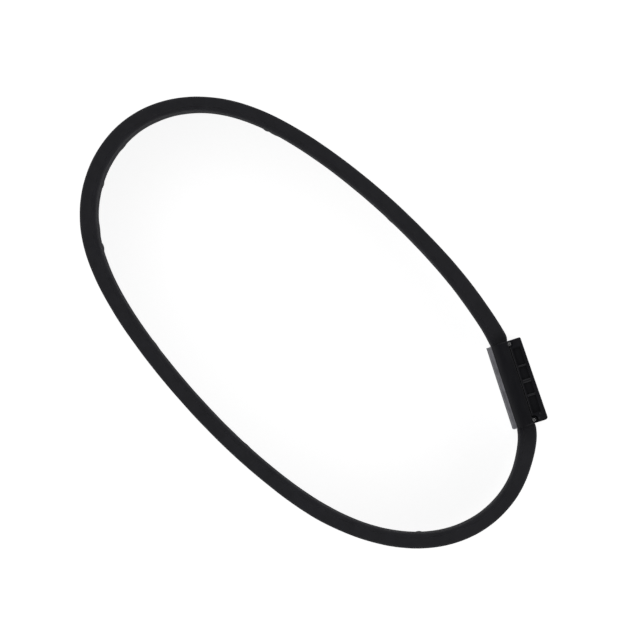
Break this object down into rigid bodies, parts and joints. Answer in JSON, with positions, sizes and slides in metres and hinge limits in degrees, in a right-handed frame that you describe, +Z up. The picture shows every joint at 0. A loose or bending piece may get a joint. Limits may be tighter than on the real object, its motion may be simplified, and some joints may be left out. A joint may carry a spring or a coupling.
{
  "type": "esd wrist strap",
  "caption": "Slim black elastomer wrist loop lying on its edge, with a small hinged clasp, skin contact plate and ground socket.",
  "frame": {"origin": "on the plane the strap rests on, under the middle of the clasp, in the mid-plane of the band", "axes": "+X along the band through the clasp, +Y outward from the wrist, +Z up from the resting plane across the band's width"},
  "size_m": [0.0742, 0.0564, 0.0156],
  "materials": {
    "band_rubber": "matt black elastomer",
    "liner_rubber": "matt dark grey conductive elastomer",
    "clasp_plastic": "fine-textured black nylon",
    "contact_steel": "dark satin stainless steel",
    "steel": "bright drawn stainless steel",
    "socket_brass": "turned brass"
  },
  "bodies": {
    "strap": {"strap_band": "band_rubber", "strap_liner": "liner_rubber", "anchor_bar_left": "steel", "anchor_bar_right": "steel", "clasp_body": "clasp_plastic", "contact_plate": "contact_steel", "contact_stud_left": "steel", "contact_stud_right": "steel", "hinge_pin_lower": "steel", "hinge_pin_upper": "steel", "latch_pin_lower": "steel", "latch_pin_upper": "steel"},
    "cover": {"clasp_cover": "clasp_plastic", "contact_spring": "steel", "ground_socket": "socket_brass"}
  },
  "joints": [
    {"name": "cover_hinge", "type": "hinge", "parent": "strap", "child": "cover", "pos_m": [0.00577, 0.00127, 0.0078], "axis": [0, 0, -1], "range_deg": [0, 75]}
  ]
}
